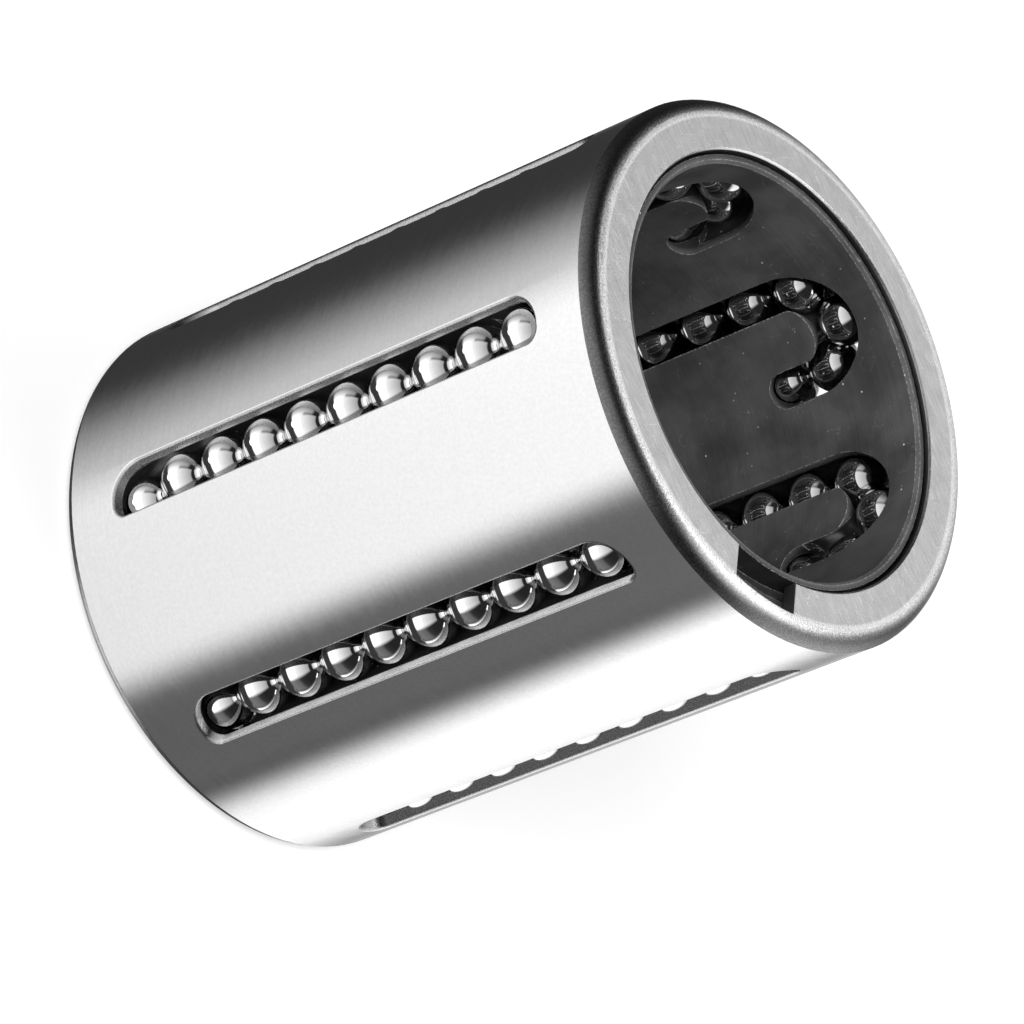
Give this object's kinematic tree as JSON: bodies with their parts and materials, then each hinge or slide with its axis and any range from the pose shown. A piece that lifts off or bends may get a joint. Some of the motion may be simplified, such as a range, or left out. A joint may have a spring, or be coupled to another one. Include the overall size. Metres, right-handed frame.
{
  "type": "linear ball bearing",
  "caption": "Cylindrical linear ball bearing: thin steel sleeve with long windows, dark plastic cage and recirculating steel balls.",
  "frame": {"origin": "middle of the bore axis, halfway along the bearing", "axes": "+Z along the bore axis towards the notched front end; +X towards the notch; the rear flange face rests on a surface"},
  "size_m": [0.04, 0.04, 0.05],
  "materials": {
    "sleeve_steel": "ground outside diameter, satin tumbled ends",
    "cage_plastic": "semi-gloss moulded plastic",
    "ball_steel": "polished bearing balls"
  },
  "bodies": {
    "housing": {"outer_sleeve": "sleeve_steel", "ball_cage": "cage_plastic"},
    "loaded_balls_1": {"loaded_balls_1": "ball_steel"},
    "return_balls_1": {"return_balls_1": "ball_steel"},
    "front_turn_balls_1": {"front_turn_balls_1": "ball_steel"},
    "rear_turn_balls_1": {"rear_turn_balls_1": "ball_steel"},
    "loaded_balls_2": {"loaded_balls_2": "ball_steel"},
    "return_balls_2": {"return_balls_2": "ball_steel"},
    "front_turn_balls_2": {"front_turn_balls_2": "ball_steel"},
    "rear_turn_balls_2": {"rear_turn_balls_2": "ball_steel"},
    "loaded_balls_3": {"loaded_balls_3": "ball_steel"},
    "return_balls_3": {"return_balls_3": "ball_steel"},
    "front_turn_balls_3": {"front_turn_balls_3": "ball_steel"},
    "rear_turn_balls_3": {"rear_turn_balls_3": "ball_steel"},
    "loaded_balls_4": {"loaded_balls_4": "ball_steel"},
    "return_balls_4": {"return_balls_4": "ball_steel"},
    "front_turn_balls_4": {"front_turn_balls_4": "ball_steel"},
    "rear_turn_balls_4": {"rear_turn_balls_4": "ball_steel"},
    "loaded_balls_5": {"loaded_balls_5": "ball_steel"},
    "return_balls_5": {"return_balls_5": "ball_steel"},
    "front_turn_balls_5": {"front_turn_balls_5": "ball_steel"},
    "rear_turn_balls_5": {"rear_turn_balls_5": "ball_steel"},
    "loaded_balls_6": {"loaded_balls_6": "ball_steel"},
    "return_balls_6": {"return_balls_6": "ball_steel"},
    "front_turn_balls_6": {"front_turn_balls_6": "ball_steel"},
    "rear_turn_balls_6": {"rear_turn_balls_6": "ball_steel"},
    "loaded_balls_7": {"loaded_balls_7": "ball_steel"},
    "return_balls_7": {"return_balls_7": "ball_steel"},
    "front_turn_balls_7": {"front_turn_balls_7": "ball_steel"},
    "rear_turn_balls_7": {"rear_turn_balls_7": "ball_steel"}
  },
  "joints": [
    {"name": "loaded_row_roll_1", "type": "slide", "parent": "housing", "child": "loaded_balls_1", "axis": [0, 0, 1], "range_m": [-0.001, 0.001]},
    {"name": "return_row_roll_1", "type": "slide", "parent": "housing", "child": "return_balls_1", "axis": [0, 0, 1], "range_m": [-0.00102, 0.00102]},
    {"name": "front_turn_roll_1", "type": "hinge", "parent": "housing", "child": "front_turn_balls_1", "pos_m": [0, 0, 0.01695], "axis": [0.8063, 0.5915, 0], "range_deg": [-18.13, 18.13]},
    {"name": "rear_turn_roll_1", "type": "hinge", "parent": "housing", "child": "rear_turn_balls_1", "pos_m": [0, 0, -0.01695], "axis": [0.8063, 0.5915, 0], "range_deg": [-18.13, 18.13]},
    {"name": "loaded_row_roll_2", "type": "slide", "parent": "housing", "child": "loaded_balls_2", "axis": [0, 0, 1], "range_m": [-0.001, 0.001]},
    {"name": "return_row_roll_2", "type": "slide", "parent": "housing", "child": "return_balls_2", "axis": [0, 0, 1], "range_m": [-0.00102, 0.00102]},
    {"name": "front_turn_roll_2", "type": "hinge", "parent": "housing", "child": "front_turn_balls_2", "pos_m": [0, 0, 0.01695], "axis": [0.0402, 0.9992, 0], "range_deg": [-18.13, 18.13]},
    {"name": "rear_turn_roll_2", "type": "hinge", "parent": "housing", "child": "rear_turn_balls_2", "pos_m": [0, 0, -0.01695], "axis": [0.0402, 0.9992, 0], "range_deg": [-18.13, 18.13]},
    {"name": "loaded_row_roll_3", "type": "slide", "parent": "housing", "child": "loaded_balls_3", "axis": [0, 0, 1], "range_m": [-0.001, 0.001]},
    {"name": "return_row_roll_3", "type": "slide", "parent": "housing", "child": "return_balls_3", "axis": [0, 0, 1], "range_m": [-0.00102, 0.00102]},
    {"name": "front_turn_roll_3", "type": "hinge", "parent": "housing", "child": "front_turn_balls_3", "pos_m": [0, 0, 0.01695], "axis": [-0.7561, 0.6545, 0], "range_deg": [-18.13, 18.13]},
    {"name": "rear_turn_roll_3", "type": "hinge", "parent": "housing", "child": "rear_turn_balls_3", "pos_m": [0, 0, -0.01695], "axis": [-0.7561, 0.6545, 0], "range_deg": [-18.13, 18.13]},
    {"name": "loaded_row_roll_4", "type": "slide", "parent": "housing", "child": "loaded_balls_4", "axis": [0, 0, 1], "range_m": [-0.001, 0.001]},
    {"name": "return_row_roll_4", "type": "slide", "parent": "housing", "child": "return_balls_4", "axis": [0, 0, 1], "range_m": [-0.00102, 0.00102]},
    {"name": "front_turn_roll_4", "type": "hinge", "parent": "housing", "child": "front_turn_balls_4", "pos_m": [0, 0, 0.01695], "axis": [-0.9831, -0.1831, 0], "range_deg": [-18.13, 18.13]},
    {"name": "rear_turn_roll_4", "type": "hinge", "parent": "housing", "child": "rear_turn_balls_4", "pos_m": [0, 0, -0.01695], "axis": [-0.9831, -0.1831, 0], "range_deg": [-18.13, 18.13]},
    {"name": "loaded_row_roll_5", "type": "slide", "parent": "housing", "child": "loaded_balls_5", "axis": [0, 0, 1], "range_m": [-0.001, 0.001]},
    {"name": "return_row_roll_5", "type": "slide", "parent": "housing", "child": "return_balls_5", "axis": [0, 0, 1], "range_m": [-0.00102, 0.00102]},
    {"name": "front_turn_roll_5", "type": "hinge", "parent": "housing", "child": "front_turn_balls_5", "pos_m": [0, 0, 0.01695], "axis": [-0.4698, -0.8828, 0], "range_deg": [-18.13, 18.13]},
    {"name": "rear_turn_roll_5", "type": "hinge", "parent": "housing", "child": "rear_turn_balls_5", "pos_m": [0, 0, -0.01695], "axis": [-0.4698, -0.8828, 0], "range_deg": [-18.13, 18.13]},
    {"name": "loaded_row_roll_6", "type": "slide", "parent": "housing", "child": "loaded_balls_6", "axis": [0, 0, 1], "range_m": [-0.001, 0.001]},
    {"name": "return_row_roll_6", "type": "slide", "parent": "housing", "child": "return_balls_6", "axis": [0, 0, 1], "range_m": [-0.00102, 0.00102]},
    {"name": "front_turn_roll_6", "type": "hinge", "parent": "housing", "child": "front_turn_balls_6", "pos_m": [0, 0, 0.01695], "axis": [0.3973, -0.9177, 0], "range_deg": [-18.13, 18.13]},
    {"name": "rear_turn_roll_6", "type": "hinge", "parent": "housing", "child": "rear_turn_balls_6", "pos_m": [0, 0, -0.01695], "axis": [0.3973, -0.9177, 0], "range_deg": [-18.13, 18.13]},
    {"name": "loaded_row_roll_7", "type": "slide", "parent": "housing", "child": "loaded_balls_7", "axis": [0, 0, 1], "range_m": [-0.001, 0.001]},
    {"name": "return_row_roll_7", "type": "slide", "parent": "housing", "child": "return_balls_7", "axis": [0, 0, 1], "range_m": [-0.00102, 0.00102]},
    {"name": "front_turn_roll_7", "type": "hinge", "parent": "housing", "child": "front_turn_balls_7", "pos_m": [0, 0, 0.01695], "axis": [0.9652, -0.2616, 0], "range_deg": [-18.13, 18.13]},
    {"name": "rear_turn_roll_7", "type": "hinge", "parent": "housing", "child": "rear_turn_balls_7", "pos_m": [0, 0, -0.01695], "axis": [0.9652, -0.2616, 0], "range_deg": [-18.13, 18.13]}
  ],
  "couplings": [
    {"joint": "return_row_roll_1", "follows": "loaded_row_roll_1", "ratio": -1},
    {"joint": "front_turn_roll_1", "follows": "loaded_row_roll_1", "rad_per_m": 307.69},
    {"joint": "rear_turn_roll_1", "follows": "loaded_row_roll_1", "rad_per_m": 307.69},
    {"joint": "return_row_roll_2", "follows": "loaded_row_roll_2", "ratio": -1},
    {"joint": "front_turn_roll_2", "follows": "loaded_row_roll_2", "rad_per_m": 307.69},
    {"joint": "rear_turn_roll_2", "follows": "loaded_row_roll_2", "rad_per_m": 307.69},
    {"joint": "return_row_roll_3", "follows": "loaded_row_roll_3", "ratio": -1},
    {"joint": "front_turn_roll_3", "follows": "loaded_row_roll_3", "rad_per_m": 307.69},
    {"joint": "rear_turn_roll_3", "follows": "loaded_row_roll_3", "rad_per_m": 307.69},
    {"joint": "return_row_roll_4", "follows": "loaded_row_roll_4", "ratio": -1},
    {"joint": "front_turn_roll_4", "follows": "loaded_row_roll_4", "rad_per_m": 307.69},
    {"joint": "rear_turn_roll_4", "follows": "loaded_row_roll_4", "rad_per_m": 307.69},
    {"joint": "return_row_roll_5", "follows": "loaded_row_roll_5", "ratio": -1},
    {"joint": "front_turn_roll_5", "follows": "loaded_row_roll_5", "rad_per_m": 307.69},
    {"joint": "rear_turn_roll_5", "follows": "loaded_row_roll_5", "rad_per_m": 307.69},
    {"joint": "return_row_roll_6", "follows": "loaded_row_roll_6", "ratio": -1},
    {"joint": "front_turn_roll_6", "follows": "loaded_row_roll_6", "rad_per_m": 307.69},
    {"joint": "rear_turn_roll_6", "follows": "loaded_row_roll_6", "rad_per_m": 307.69},
    {"joint": "return_row_roll_7", "follows": "loaded_row_roll_7", "ratio": -1},
    {"joint": "front_turn_roll_7", "follows": "loaded_row_roll_7", "rad_per_m": 307.69},
    {"joint": "rear_turn_roll_7", "follows": "loaded_row_roll_7", "rad_per_m": 307.69}
  ]
}
